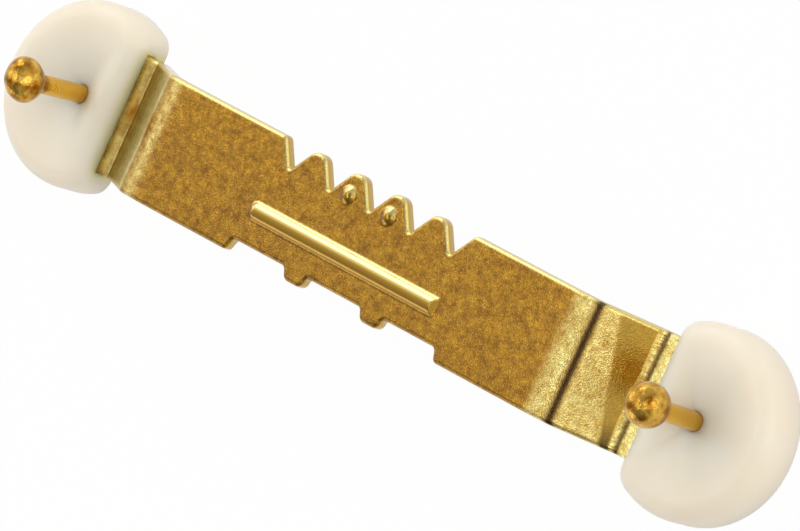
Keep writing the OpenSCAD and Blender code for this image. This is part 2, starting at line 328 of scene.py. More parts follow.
def slot_solid(bm):
    """The space of the strap's foot: round about the nail and open through the flat side."""
    r = strap_half_w + SLOT_GAP
    mouth = BUMPER_FLAT + 1 * MM
    half_turn = [math.pi / 2 + math.pi * i / 48 for i in range(49)]
    outline = [(r * math.cos(a), r * math.sin(a)) for a in half_turn] + [(mouth, -r), (mouth, r)]
    bottom = [bm.verts.new((x, y, foot_low - SLOT_GAP)) for x, y in outline]
    face = bm.faces.new(bottom)
    raised = bmesh.ops.extrude_face_region(bm, geom=[face])["geom"]
    lifted = [v for v in raised if isinstance(v, bmesh.types.BMVert)]
    bmesh.ops.translate(bm, verts=lifted, vec=(0, 0, SHEET + 2 * SLOT_GAP))


# The nail and its bore lean across the strap, about the middle of the foot's hole
hole_middle = Vector((0, 0, foot_low + SHEET / 2))
leaning = (Matrix.Translation(hole_middle) @ Matrix.Rotation(NAIL_LEAN, 4, "X")
           @ Matrix.Translation(-hole_middle))


def bore_solid(bm):
    """The nail's bore, leaning as the nail does."""
    bore_r = SHANK_R + BORE_GAP
    made = bmesh.ops.create_cone(bm, cap_ends=True, segments=48, radius1=bore_r, radius2=bore_r,
                                 depth=BORE_CUT_L)
    bmesh.ops.transform(bm, matrix=leaning, verts=made["verts"])


bumper_nylon = nylon()
for node, turn in (("left_bumper", 0), ("right_bumper", math.pi)):
    low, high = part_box(node)
    nail_x = high.x - BUMPER_FLAT if turn == 0 else low.x + BUMPER_FLAT
    bm = bmesh.new()
    rings = [[bm.verts.new((p.x, p.y, z)) for p in outline] for outline, z in bumper_rings(high.z)]
    for lower, upper in zip(rings, rings[1:]):
        for i in range(OUTLINE_STEPS):
            j = (i + 1) % OUTLINE_STEPS
            bm.faces.new((lower[i], lower[j], upper[j], upper[i]))
    for ring, z in ((rings[0], 0), (rings[-1], high.z - DISH_DEPTH)):
        middle = bm.verts.new((0, 0, z))
        for i in range(OUTLINE_STEPS):
            bm.faces.new((ring[i], ring[(i + 1) % OUTLINE_STEPS], middle))
    bmesh.ops.recalc_face_normals(bm, faces=bm.faces)
    mesh = bpy.data.meshes.new(node + "_nylon")
    bm.to_mesh(mesh)
    bm.free()
    bumper = bpy.data.objects.new(node + "_nylon", mesh)
    scene.collection.objects.link(bumper)
    for name, maker in (("slot_cut", slot_solid), ("bore_cut", bore_solid)):
        tool = cutter(name, maker)
        cut = bumper.modifiers.new(name, "BOOLEAN")
        cut.operation, cut.solver, cut.object = "DIFFERENCE", "EXACT", tool
        bpy.context.view_layer.update()
        shape = bpy.data.meshes.new_from_object(bumper.evaluated_get(bpy.context.evaluated_depsgraph_get()))
        bumper.modifiers.clear()
        bumper.data = shape
        bpy.data.objects.remove(tool)
    bumper.data.transform(Matrix.Translation((nail_x, 0, 0)) @ Matrix.Rotation(turn, 4, "Z"))
    bumper.data.materials.clear()
    bumper.data.materials.append(bumper_nylon)
    bumper.data.shade_smooth()
    bumper.data.set_sharp_from_angle(angle=math.radians(40))
    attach(bumper, "hanger")
    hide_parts(node)


# Strap. One strip of steel sheet, blanked with its notches and tabs, pressed to raise the rib and
# the two bumps, and bent twice at each end. Then barrel-plated with brass, which leaves the fine
# dents of tumbling on it, and dipped in clear lacquer.

# The plate rolls over gently before it bends sharply, so the sharp bend starts a little sooner than
# a single bend would
UPPER_BEND_SPAN, RISER_RUN = 35.6 * MM, 3.65 * MM
ROLL_START, ROLL_R, ROLL_ANGLE = 15.9 * MM, 7 * MM, math.radians(9)
UPPER_BEND_R, LOWER_BEND_R = 1.0 * MM, 0.35 * MM
NOTCHES, NOTCH_PITCH, NOTCH_DEPTH = 5, 3.35 * MM, 1.79 * MM
NOTCH_ANGLE = math.radians(68)
ROOT_R, CROWN_R, SHOULDER_R = 0.15 * MM, 0.75 * MM, 0.45 * MM
RECESS_L, RECESS_DEPTH, RECESS_SLOPE, RECESS_R = 17.5 * MM, 0.84 * MM, 0.3 * MM, 0.35 * MM
TAB_SPACING, TAB_BASE_W, TAB_TIP_W = 6.4 * MM, 1.9 * MM, 1.45 * MM
TAB_H, TAB_LEAN, TAB_R, TAB_TIP_R = 0.75 * MM, 0.15 * MM, 0.3 * MM, 0.5 * MM
FOOT_HOLE_R = 0.8 * MM
# The punch rolls the edges over on the front and leaves them nearly square behind
ROLLED_R, BACK_EDGE_R, EDGE_SUPPORT = 0.28 * MM, 0.05 * MM, 0.03 * MM
RIB_L, RIB_HALF_W, RIB_H = 15.8 * MM, 0.74 * MM, 0.38 * MM
RIB_DROP, RIB_SHIFT, RIB_END_SLOPE = 1.0 * MM, 0.4 * MM, 1.15
BUMP_HALF_W, BUMP_H, BUMP_DROP, BUMP_SHIFT = 0.72 * MM, 0.30 * MM, 1.45 * MM, 0.12 * MM
# A pressed form is rounded on top and at its foot, and this is the foot's share of the two radii
FOOT_SHARE = 0.28
# Behind, the forms have this share of their width in front
BACK_SHARE = 0.6

plate_top = strap_high.z - RIB_H
plate_rise = plate_top - foot_high
bend_angle = math.atan2(plate_rise, RISER_RUN)
bend_shift = SHEET * math.tan(bend_angle / 2)
upper_x = UPPER_BEND_SPAN / 2

# The bent centre line: its corners in X and Z, each with the radius of its bend
plate_z, foot_z = plate_top - SHEET / 2, foot_low + SHEET / 2
bend_x = upper_x - bend_shift / 2
roll_x = ROLL_START + ROLL_R * math.tan(ROLL_ANGLE / 2)
roll_slope, riser_slope = math.tan(ROLL_ANGLE), math.tan(bend_angle)
sharp_x = (bend_x * riser_slope - roll_x * roll_slope) / (riser_slope - roll_slope)
bend_corners = [
    (roll_x, plate_z, ROLL_R),
    (sharp_x, plate_z - roll_slope * (sharp_x - roll_x), UPPER_BEND_R - SHEET / 2),
    (bend_x + RISER_RUN, foot_z, LOWER_BEND_R + SHEET / 2),
    (strap_high.x, foot_z, 0),
]
# Where each bend starts and ends, measured along the flat blank, and the blank's half length
bend_spans = []
blank_half, before, spent = 0.0, Vector((0, plate_z)), 0.0
for (x, z, r), (next_x, next_z, _) in zip(bend_corners, bend_corners[1:]):
    corner = Vector((x, z))
    turn = (corner - before).angle(Vector((next_x, next_z)) - corner)
    tangent = r * math.tan(turn / 2)
    blank_half += (corner - before).length - spent - tangent
    bend_spans.append((blank_half, blank_half + r * turn))
    blank_half += r * turn
    before, spent = corner, tangent
blank_half += strap_high.x - before.x - spent
blank_nail = blank_half - strap_half_w

# The feet end in full rounds, a hair under the half width so that the two arcs stay apart
foot_end_r = strap_half_w * 0.999

rib_y = -RIB_DROP
rib_left, rib_right = -RIB_L / 2 - RIB_SHIFT, RIB_L / 2 - RIB_SHIFT
bump_y = strap_half_w - BUMP_DROP
bumps_x = [side * NOTCH_PITCH / 2 - BUMP_SHIFT for side in (-1, 1)]


def rounded(corners, step):
    """A closed outline from corners given as x, y and radius, with arcs of short steps."""
    points = []
    for i, (x, y, r) in enumerate(corners):
        p = Vector((x, y))
        if r == 0:
            points.append(p)
            continue
        u = (Vector(corners[i - 1][:2]) - p).normalized()
        v = (Vector(corners[(i + 1) % len(corners)][:2]) - p).normalized()
        half = math.acos(max(-1, min(1, u.dot(v)))) / 2
        centre = p + (u + v).normalized() * r / math.sin(half)
        start = p + u * r / math.tan(half) - centre
        sweep = (math.pi - 2 * half) * (-1 if u.x * v.y - u.y * v.x > 0 else 1)
        steps = max(3, math.ceil(abs(sweep) * r / step))
        for k in range(steps + 1):
            a = sweep * k / steps
            points.append(centre + Vector((start.x * math.cos(a) - start.y * math.sin(a),
                                           start.x * math.sin(a) + start.y * math.cos(a))))
    return points


def mirrored(corners):
    """The same corners on the left, in the order that carries the outline on."""
    return [(-x, y, r) for x, y, r in reversed(corners)]


def stations(start, end, step):
    """Even places from start to end, both included."""
    count = max(1, math.ceil((end - start) / step))
    return [start + (end - start) * i / count for i in range(count + 1)]


BEND_STEP, PLAIN_STEP, CURVE_STEP = 0.09 * MM, 0.35 * MM, 0.06 * MM
right_rows = []
for (start, end), (next_start, _) in zip(bend_spans, bend_spans[1:] + [(None, None)]):
    right_rows += stations(start, end, BEND_STEP)
    if next_start:
        right_rows += stations(end, next_start, PLAIN_STEP)[1:-1]
first_row = right_rows[0]
blank_rows = sorted([-s for s in right_rows] + right_rows + stations(-first_row, first_row, PLAIN_STEP)[1:-1])


def with_rows(points):
    """Adds points on the long straight runs, in step with the rows across the blank."""
    result = []
    for i, p in enumerate(points):
        q = points[(i + 1) % len(points)]
        result.append(p)
        run = (q - p).length
        if run < 2 * CURVE_STEP:
            continue
        if abs(q.y - p.y) < 1e-9:
            low, high = sorted((p.x, q.x))
            between = [s for s in blank_rows if low + CURVE_STEP < s < high - CURVE_STEP]
            between.sort(reverse=q.x < p.x)
            result += [Vector((s, p.y)) for s in between]
        else:
            count = math.ceil(run / (2 * CURVE_STEP))
            result += [p.lerp(q, k / count) for k in range(1, count)]
    return result


def notch_corners(i):
    """One notch, counted from the left, and the corners of the teeth or shoulders beside it."""
    x = (i - (NOTCHES - 1) / 2) * NOTCH_PITCH
    half_w = NOTCH_DEPTH * math.tan(NOTCH_ANGLE / 2)
    flat = NOTCH_PITCH - 2 * half_w
    crown = min(CROWN_R, flat / 2 * math.tan(math.pi / 4 + NOTCH_ANGLE / 4) * 0.999)
    return [
        (x - half_w, strap_half_w, SHOULDER_R if i == 0 else crown),
        (x, strap_half_w - NOTCH_DEPTH, ROOT_R),
        (x + half_w, strap_half_w, SHOULDER_R if i == NOTCHES - 1 else crown),
    ]


def tab_corners(x):
    """One tab below the recess, leaning a little to the right."""
    base_y = RECESS_DEPTH - strap_half_w
    return [
        (x + TAB_BASE_W / 2, base_y, TAB_R),
        (x + TAB_LEAN + TAB_TIP_W / 2, base_y - TAB_H, TAB_TIP_R),
        (x + TAB_LEAN - TAB_TIP_W / 2, base_y - TAB_H, TAB_TIP_R),
        (x - TAB_BASE_W / 2, base_y, TAB_R),
    ]


def blank_outline():
    """The flat blank's outline, taken clockwise: toothed edge, right end, lower edge, left end."""
    recess_end = [
        (RECESS_L / 2, -strap_half_w, RECESS_R),
        (RECESS_L / 2 - RECESS_SLOPE, RECESS_DEPTH - strap_half_w, RECESS_R),
    ]
    corners = [corner for i in range(NOTCHES) for corner in notch_corners(i)]
    foot_end = [(blank_half, strap_half_w, foot_end_r), (blank_half, -strap_half_w, foot_end_r)]
    corners += foot_end
    corners += recess_end + tab_corners(TAB_SPACING / 2) + tab_corners(-TAB_SPACING / 2)
    corners += mirrored(recess_end) + mirrored(foot_end)
    return with_rows(rounded(corners, CURVE_STEP))


def section_height(across, half_w, height):
    """Height of a pressed form at this distance from its middle: round on top and at its foot."""
    if across >= half_w:
        return 0.0
    steepest = 2 * math.atan2(height, half_w)
    both_r = half_w / math.sin(steepest)
    foot_r = FOOT_SHARE * both_r
    top_r = both_r - foot_r
    if across < top_r * math.sin(steepest):
        return height - top_r + math.sqrt(top_r ** 2 - across ** 2)
    return foot_r - math.sqrt(foot_r ** 2 - (half_w - across) ** 2)


def pressed_height(s, y, share):
    """How far the plate is raised here, with the forms' widths taken by a share."""
    half_w = RIB_HALF_W * share
    past_left = min(0.0, s - (rib_left + RIB_HALF_W))
    rib = section_height(math.hypot(past_left, y - rib_y), half_w, RIB_H)
    rib = min(rib, max(0.0, (rib_right - s) * RIB_END_SLOPE))
    bumps = [
        section_height(math.hypot(s - bump_x, y - bump_y), BUMP_HALF_W * share, BUMP_H)
        for bump_x in bumps_x
    ]
    return max(rib, *bumps)


def shaping_points():
    """Points inside the blank where it is bent or pressed, so that those places come out smooth."""
    points = [(s, y) for s in blank_rows if abs(s) >= first_row
              for y in stations(-strap_half_w, strap_half_w, 0.5 * MM)]
    reach = RIB_HALF_W * 1.3
    ends = stations(rib_left - 0.3 * MM, rib_left + 1.1 * MM, 0.06 * MM)
    ends += stations(rib_right - 1.1 * MM, rib_right + 0.3 * MM, 0.05 * MM)
    middle = stations(rib_left + 1.1 * MM, rib_right - 1.1 * MM, 0.3 * MM)[1:-1]
    points += [(s, y) for s in ends + middle for y in stations(rib_y - reach, rib_y + reach, 0.05 * MM)]
    for bump_x in bumps_x:
        for ring in range(1, 17):
            r = ring * BUMP_HALF_W * 1.15 / 16
            for k in range(36):
                a = 2 * math.pi * (k + ring % 2 / 2) / 36
                points.append((bump_x + r * math.cos(a), bump_y + r * math.sin(a)))
    return points


def flat_blank():
    """The sheet before bending: X along the blank, Z from the middle of its thickness."""
    bm = bmesh.new()
    edge = [(ROLLED_R + EDGE_SUPPORT, SHEET / 2)]
    for i in range(7):
        a = math.pi / 2 * i / 6
        edge.append((ROLLED_R * (1 - math.sin(a)), SHEET / 2 - ROLLED_R * (1 - math.cos(a))))
    for i in range(3):
        a = math.pi / 2 * i / 2
        edge.append((BACK_EDGE_R * (1 - math.cos(a)), BACK_EDGE_R * (1 - math.sin(a)) - SHEET / 2))
    edge.append((BACK_EDGE_R + EDGE_SUPPORT, -SHEET / 2))
    turns = [2 * math.pi * k / 40 for k in range(40)]
    hole = [Vector((FOOT_HOLE_R * math.cos(a), FOOT_HOLE_R * math.sin(a))) for a in turns]
    loops = [blank_outline()] + [[p + Vector((side * blank_nail, 0)) for p in hole] for side in (-1, 1)]
    tops, bottoms = [], []
    for loop in loops:
        count = len(loop)
        inward = []
        for i in range(count):
            before = (loop[i] - loop[i - 1]).normalized()
            after = (loop[(i + 1) % count] - loop[i]).normalized()
            along = (before + after).normalized()
            inward.append(Vector((along.y, -along.x)))
        rings = [[bm.verts.new((*(p + n * inset), z)) for p, n in zip(loop, inward)] for inset, z in edge]
        for upper, lower in zip(rings, rings[1:]):
            for i in range(count):
                j = (i + 1) % count
                bm.faces.new((upper[i], upper[j], lower[j], lower[i]))
        tops.append(rings[0])
        bottoms.append(rings[-1])
    shaping = shaping_points()
    for rims, share, z, outward in ((tops, 1, SHEET / 2, 1), (bottoms, BACK_SHARE, -SHEET / 2, -1)):
        border = [v for rim in rims for v in rim]
        near = KDTree(len(border))
        for i, v in enumerate(border):
            near.insert((v.co.x, v.co.y, 0), i)
        near.balance()
        inner = [Vector(p) for p in shaping if near.find((*p, 0))[2] > 1.5 * CURVE_STEP]
        points = [Vector(v.co.xy) for v in border] + inner
        edges, start = [], 0
        for rim in rims:
            edges += [(start + i, start + (i + 1) % len(rim)) for i in range(len(rim))]
            start += len(rim)
        placed, _, faces, origins, _, _ = delaunay_2d_cdt(points, edges, [], 2, 1e-9)
        verts = {}
        for index, source in enumerate(origins):
            if source and source[0] < len(border):
                verts[index] = border[source[0]]
        for face in faces:
            for index in face:
                if index not in verts:
                    x, y = placed[index]
                    verts[index] = bm.verts.new((x, y, z + pressed_height(x, y, share)))
            corners = [verts[index] for index in face]
            bm.faces.new(corners if outward > 0 else corners[::-1])
    bmesh.ops.recalc_face_normals(bm, faces=bm.faces)
    mesh = bpy.data.meshes.new("flat_blank")
    bm.to_mesh(mesh)
    bm.free()
    mesh.shade_smooth()
    return mesh


def bend_path():
    """The strap's bent centre line, whose corners carry the radii of the bends."""
    ends = mirrored(bend_corners) + bend_corners
    curve = bpy.data.curves.new("bend_path", "CURVE")
    curve.dimensions = "3D"
    spline = curve.splines.new("POLY")
    spline.points.add(len(ends) - 1)
    for point, (x, z, r) in zip(spline.points, ends):
        point.co = (x, 0, z, 1)
        point.radius = r
    holder = bpy.data.objects.new("bend_path", curve)
    scene.collection.objects.link(holder)
    return holder


def bending_tree():
    """Wraps the flat blank round the bent centre line, as the press brake does."""
    tree = bpy.data.node_groups.new("strap_bending", "GeometryNodeTree")
    face = tree.interface
    face.new_socket("Geometry", in_out="INPUT", socket_type="NodeSocketGeometry")
    face.new_socket("Bend path", in_out="INPUT", socket_type="NodeSocketObject")
    face.new_socket("Half length", in_out="INPUT", socket_type="NodeSocketFloat")
    face.new_socket("Steps in a bend", in_out="INPUT", socket_type="NodeSocketInt")
    face.new_socket("Finish", in_out="INPUT", socket_type="NodeSocketMaterial")
    face.new_socket("Geometry", in_out="OUTPUT", socket_type="NodeSocketGeometry")
    given = add(tree, "NodeGroupInput").outputs
    path = add(tree, "GeometryNodeObjectInfo", {"Object": given["Bend path"]})
    radius = add(tree, "GeometryNodeInputRadius")
    bent = add(tree, "GeometryNodeFilletCurve", {
        "Curve": path.outputs["Geometry"], "Count": given["Steps in a bend"], "Radius": radius.outputs[0],
    }, mode="POLY")
    place = add(tree, "GeometryNodeInputPosition")
    flat = add(tree, "ShaderNodeSeparateXYZ", {0: place.outputs[0]})
    along = add(tree, "ShaderNodeMath", {0: flat.outputs["X"], 1: given["Half length"]}, operation="ADD")
    spot = add(tree, "GeometryNodeSampleCurve", {
        "Curves": bent.outputs[0], "Length": along.outputs[0],
    }, mode="LENGTH")
    across = add(tree, "ShaderNodeCombineXYZ", {"Y": flat.outputs["Y"]})
    outward = add(tree, "ShaderNodeVectorMath", {0: spot.outputs["Tangent"], 1: (0, 1, 0)},
                  operation="CROSS_PRODUCT")
    lift = add(tree, "ShaderNodeVectorMath", {0: outward.outputs[0], "Scale": flat.outputs["Z"]},
               operation="SCALE")
    base = add(tree, "ShaderNodeVectorMath", {0: spot.outputs["Position"], 1: across.outputs[0]},
               operation="ADD")
    wrapped = add(tree, "ShaderNodeVectorMath", {0: base.outputs[0], 1: lift.outputs[0]}, operation="ADD")
    moved = add(tree, "GeometryNodeSetPosition", {
        "Geometry": given["Geometry"], "Position": wrapped.outputs[0],
    })
    real = add(tree, "GeometryNodeRealizeInstances", {0: moved.outputs[0]})
    finished = add(tree, "GeometryNodeSetMaterial", {0: real.outputs[0], "Material": given["Finish"]})
    add(tree, "NodeGroupOutput", {"Geometry": finished.outputs[0]})
    return tree


# What tumbling and the dies leave on the strap, with painted light. Each row: place along the strap in mm,
# depth of the dents of tumbling, depth of the scuffs that run along the strap, both as shares of the deepest,
# how far a pale colour is painted on as the highlights and reflections of the bends, risers and feet, and how
# far painted shade darkens the creases of the bends
WEAR_AND_PAINTED_LIGHT_PLACES = (
    (-31.8, 0.2, 0.0, 0.3, 0.0), (-22.0, 0.2, 0.0, 0.45, 0.0), (-21.5, 0.2, 0.0, 0.45, 0.2),
    (-21.2, 0.2, 0.0, 0.6, 0.0), (-20.2, 0.2, 0.0, 1.0, 0.0), (-19.6, 0.2, 0.0, 1.0, 0.0),
    (-18.3, 0.2, 0.0, 1.0, 0.0), (-17.8, 0.4, 0.0, 0.0, 0.3), (-17.5, 1.0, 0.1, 0.6, 0.0),
    (-17.0, 1.0, 0.1, 0.45, 0.0), (-16.6, 0.6, 0.0, 0.0, 0.0), (16.0, 0.5, 0.0, 0.0, 0.0),
    (16.5, 0.9, 0.1, 0.5, 0.0), (17.5, 0.9, 0.1, 1.0, 0.0), (17.7, 0.4, 0.0, 0.3, 0.3),
    (17.8, 0.3, 0.0, 0.0, 0.9), (18.2, 0.4, 0.0, 0.1, 0.75), (18.35, 0.6, 0.0, 0.6, 0.0),
    (20.95, 0.6, 0.0, 0.6, 0.0), (21.0, 0.2, 1.0, 1.0, 0.0), (21.25, 0.2, 1.0, 1.0, 0.0),
    (21.3, 0.2, 0.3, 0.2, 0.8), (21.4, 0.2, 0.0, 0.2, 0.8), (21.5, 0.9, 0.0, 1.0, 0.0),
    (24.0, 0.9, 0.0, 1.0, 0.0), (31.8, 0.2, 0.0, 0.0, 0.0),
)
# The dents and the width of the scuffs are drawn at about one and a half pixels of the view, so that
# they show. The scuffs' relief is this many times the dents'.
DENT_SIZE, SCUFF_LENGTH, SCUFF_WIDTH = 0.09 * MM, 1.2 * MM, 0.09 * MM
DENT_DEPTH, SCUFF_SHARE = 0.045 * MM, 1.6
# The grain of the plating's colour: the size of its blotches, how many times finer each next pattern
# of them is, and how strong it is beside the one before
GRAIN_SIZE, GRAIN_STEP, GRAIN_SHARE = 0.55 * MM, 2.2, 0.8
# Past a slanting line with a ragged edge, the right riser is burnished smoother as far as the foot:
# where that starts and how soon, its slant and the share of the dents that is left, then where it
# ends and how ragged the line is
BURNISH_START, BURNISH_FADE, BURNISH_SLANT, BURNISH_LEFT = 20.0 * MM, 0.2 * MM, 0.2, 0.4
BURNISH_END, BURNISH_RAGGED = 20.95 * MM, 0.6 * MM
# The burnished patch is painted darker on its lower side, a painted dark reflection, growing from the first
# of these places across the strap to the second, where it has this share
PAINTED_DARK_START, PAINTED_DARK_END, PAINTED_DARK_SHARE = -2.2 * MM, -3.6 * MM, 0.75
# The die irons the rib and the bumps, from the first of these heights over the plate to the second,
# and leaves this share of the dents there
PRESSED_FROM, PRESSED_TO, PRESSED_LEFT = 0.02 * MM, 0.1 * MM, 0.12


def brass_plate():
    """Barrel-plated brass over steel: bright, dented finely all over, under clear lacquer, with painted
    highlights, reflections and shade in places.
    """
    material = bpy.data.materials.new("brass_plated_steel")
    material.use_nodes = True
    tree = material.node_tree
    shader = tree.nodes["Principled BSDF"]
    from_object = add(tree, "ShaderNodeTexCoord").outputs
    place = from_object["Object"]
    split = add(tree, "ShaderNodeSeparateXYZ", {0: place})
    grain = add(tree, "ShaderNodeTexNoise", {
        "Vector": place, "Scale": 1 / GRAIN_SIZE, "Detail": 3,
        "Roughness": GRAIN_SHARE, "Lacunarity": GRAIN_STEP,
    })
    spread = add(tree, "ShaderNodeMapRange", {
        "Value": grain.outputs["Fac"], "From Min": 0.3, "From Max": 0.7,
    })
    tint = add(tree, "ShaderNodeMix", {
        "Factor": spread.outputs["Result"], "A": linear("#7C5006"), "B": linear("#B4861E"),
    }, data_type="RGBA")
    # The cut edges are painted paler: the plating lies thinner there, and the paler colour also paints their
    # highlights
    facing = add(tree, "ShaderNodeSeparateXYZ", {0: from_object["Normal"]})
    edgewise = add(tree, "ShaderNodeMath", {0: facing.outputs["Z"]}, operation="ABSOLUTE")
    cut_edge_pale_and_highlight = add(tree, "ShaderNodeMapRange", {
        "Value": edgewise.outputs[0], "From Min": 0.15, "From Max": 0.45, "To Min": 1, "To Max": 0,
    })
    along = add(tree, "ShaderNodeMapRange", {
        "Value": split.outputs["X"], "From Min": strap_low.x, "From Max": strap_high.x,
    })
    # The ramp carries the real dents and scuffs, and the painted highlights and painted crease shade
    wear = add(tree, "ShaderNodeValToRGB", {"Fac": along.outputs["Result"]})
    for i, (at, dent, scuff, pale, dark) in enumerate(WEAR_AND_PAINTED_LIGHT_PLACES):
        spot = (at * MM - strap_low.x) / (strap_high.x - strap_low.x)
        stops = wear.color_ramp.elements
        stop = stops[0] if i == 0 else stops[-1] if i == len(WEAR_AND_PAINTED_LIGHT_PLACES) - 1 else stops.new(spot)
        stop.position = spot
        stop.color = (dent, scuff, pale, dark)
    wear_and_painted_light_columns = add(tree, "ShaderNodeSeparateColor", {0: wear.outputs["Color"]})
    slanting = add(tree, "ShaderNodeMath", {0: split.outputs["Y"], 1: BURNISH_SLANT, 2: split.outputs["X"]},
                   operation="MULTIPLY_ADD")
    ragged = add(tree, "ShaderNodeMath", {0: grain.outputs["Fac"], 1: BURNISH_RAGGED, 2: slanting.outputs[0]},
                 operation="MULTIPLY_ADD")
    past_line = add(tree, "ShaderNodeMapRange", {
        "Value": ragged.outputs[0], "From Min": BURNISH_START, "From Max": BURNISH_START + BURNISH_FADE,
    })
    before_foot = add(tree, "ShaderNodeMapRange", {
        "Value": split.outputs["X"], "From Min": BURNISH_END, "From Max": BURNISH_END + 0.1 * MM,
        "To Min": 1, "To Max": 0,
    })
    burnished = add(tree, "ShaderNodeMath", {
        0: past_line.outputs["Result"], 1: before_foot.outputs["Result"],
    }, operation="MULTIPLY")
    low_side = add(tree, "ShaderNodeMapRange", {
        "Value": split.outputs["Y"], "From Min": PAINTED_DARK_END, "From Max": PAINTED_DARK_START,
        "To Min": PAINTED_DARK_SHARE, "To Max": 0,
    })
    painted_dark_reflection = add(tree, "ShaderNodeMath", {0: burnished.outputs[0], 1: low_side.outputs["Result"]},
                 operation="MULTIPLY")
    rough_left = add(tree, "ShaderNodeMath", {0: burnished.outputs[0], 1: BURNISH_LEFT - 1, 2: 1},
                     operation="MULTIPLY_ADD")
    strip_share = add(tree, "ShaderNodeMath", {0: wear_and_painted_light_columns.outputs["Red"], 1: rough_left.outputs[0]},
                      operation="MULTIPLY")
    pressed = add(tree, "ShaderNodeMapRange", {
        "Value": split.outputs["Z"], "From Min": plate_top + PRESSED_FROM, "From Max": plate_top + PRESSED_TO,
    })
    dents_left = add(tree, "ShaderNodeMath", {0: pressed.outputs["Result"], 1: PRESSED_LEFT - 1, 2: 1},
                     operation="MULTIPLY_ADD")
    dent_share = add(tree, "ShaderNodeMath", {0: strip_share.outputs[0], 1: dents_left.outputs[0]},
                     operation="MULTIPLY")
    # Painted highlight and reflection: a pale colour on the bends, risers and feet where they would mirror
    # the lamps, the floor and the nylon
    pale = add(tree, "ShaderNodeMix", {
        "Factor": spread.outputs["Result"], "A": linear("#C69A30"), "B": linear("#FFF6A2"),
    }, data_type="RGBA")
    painted_highlight_burnished_tint = add(tree, "ShaderNodeMix", {
        "Factor": burnished.outputs[0], "A": pale.outputs["Result"], "B": linear("#B8983C"),
    }, data_type="RGBA")
    ironed = add(tree, "ShaderNodeMix", {
        "Factor": pressed.outputs["Result"], "A": tint.outputs["Result"], "B": linear("#A88024"),
    }, data_type="RGBA")
    with_painted_highlight = add(tree, "ShaderNodeMix", {
        "Factor": wear_and_painted_light_columns.outputs["Blue"], "A": ironed.outputs["Result"], "B": painted_highlight_burnished_tint.outputs["Result"],
    }, data_type="RGBA")
    # Painted highlight: what faces the toothed side, at the rolled edge and on the rib and bumps, is painted
    # paler where it would catch the key lamp
    painted_edge_highlight_share = add(tree, "ShaderNodeMapRange", {
        "Value": facing.outputs["Y"], "From Min": 0.1, "From Max": 0.4,
    })
    with_painted_edge_highlight = add(tree, "ShaderNodeMix", {
        "Factor": painted_edge_highlight_share.outputs["Result"], "A": with_painted_highlight.outputs["Result"], "B": linear("#F0DA88"),
    }, data_type="RGBA")
    # Painted shade darkens the creases of the bends, and a painted dark reflection the burnished patch's
    # lower side
    painted_shade = add(tree, "ShaderNodeMath", {0: wear.outputs["Alpha"], 1: painted_dark_reflection.outputs[0]},
                   operation="MAXIMUM")
    with_painted_shade = add(tree, "ShaderNodeMix", {
        "Factor": painted_shade.outputs[0], "A": with_painted_edge_highlight.outputs["Result"], "B": linear("#3A2608"),
    }, data_type="RGBA")
    coloured = add(tree, "ShaderNodeMix", {
        "Factor": cut_edge_pale_and_highlight.outputs["Result"], "A": with_painted_shade.outputs["Result"], "B": linear("#BC9842"),
    }, data_type="RGBA")
    tree.links.new(coloured.outputs["Result"], shader.inputs["Base Color"])
    dents = add(tree, "ShaderNodeTexNoise", {
        "Vector": place, "Scale": 1 / DENT_SIZE, "Detail": 1, "Roughness": 0.6,
    })
    dented = add(tree, "ShaderNodeMath", {0: dents.outputs["Fac"], 1: dent_share.outputs[0]},
                 operation="MULTIPLY")
    drawn = add(tree, "ShaderNodeVectorMath", {
        0: place, 1: (1 / SCUFF_LENGTH, 1 / SCUFF_WIDTH, 1 / SCUFF_LENGTH),
    }, operation="MULTIPLY")
    scuffs = add(tree, "ShaderNodeTexNoise", {"Vector": drawn.outputs[0], "Scale": 1, "Detail": 2})
    scuffed = add(tree, "ShaderNodeMath", {0: scuffs.outputs["Fac"], 1: wear_and_painted_light_columns.outputs["Green"]},
                  operation="MULTIPLY")
    relief = add(tree, "ShaderNodeMath", {0: scuffed.outputs[0], 1: SCUFF_SHARE, 2: dented.outputs[0]},
                 operation="MULTIPLY_ADD")
    bump = add(tree, "ShaderNodeBump", {"Height": relief.outputs[0], "Distance": DENT_DEPTH, "Strength": 1.0})
    tree.links.new(bump.outputs[0], shader.inputs["Normal"])
    tree.links.new(bump.outputs[0], shader.inputs["Coat Normal"])
    shader.inputs["Metallic"].default_value = 1.0
    shader.inputs["Roughness"].default_value = 0.17
    shader.inputs["Coat Weight"].default_value = 0.45
    shader.inputs["Coat Roughness"].default_value = 0.1
    shader.inputs["Coat IOR"].default_value = 1.5
    return material


strap_brass = brass_plate()
strap = bpy.data.objects.new("strap_pressing", flat_blank())
scene.collection.objects.link(strap)
centre_line = bend_path()
bending = strap.modifiers.new("bending", "NODES")
bending.node_group = bending_tree()
tree_items = bending.node_group.interface.items_tree
sockets = {item.name: item.identifier for item in tree_items if item.in_out == "INPUT"}
bending[sockets["Bend path"]] = centre_line
bending[sockets["Half length"]] = blank_half
bending[sockets["Steps in a bend"]] = 60
bending[sockets["Finish"]] = strap_brass
bpy.context.view_layer.update()
bent_mesh = bpy.data.meshes.new_from_object(strap.evaluated_get(bpy.context.evaluated_depsgraph_get()))
strap.modifiers.clear()
strap.data = bent_mesh
bpy.data.objects.remove(centre_line)
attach(strap, "hanger")
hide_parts("hanger_strap")


# Nails. Two brass nails with ball heads, headed and pointed from wire, each started in a bumper.
# The left head is battered out of round by the hammer, and both are patchy and nicked by handling.
HEAD_R, NAIL_L, POINT_L, POINT_R = 1.45 * MM, 9.1 * MM, 1.5 * MM, 0.06 * MM
NECK_R = 0.35 * MM
# Where the heads' polish ends and the brighter brass of the shanks begins, and how soon it does
SHANK_TOP, SHANK_FADE = 6.6 * MM, 0.4 * MM
NAIL_SIDES = 96
# The right head is this much smaller than its ball
HEAD_WORN = 0.035
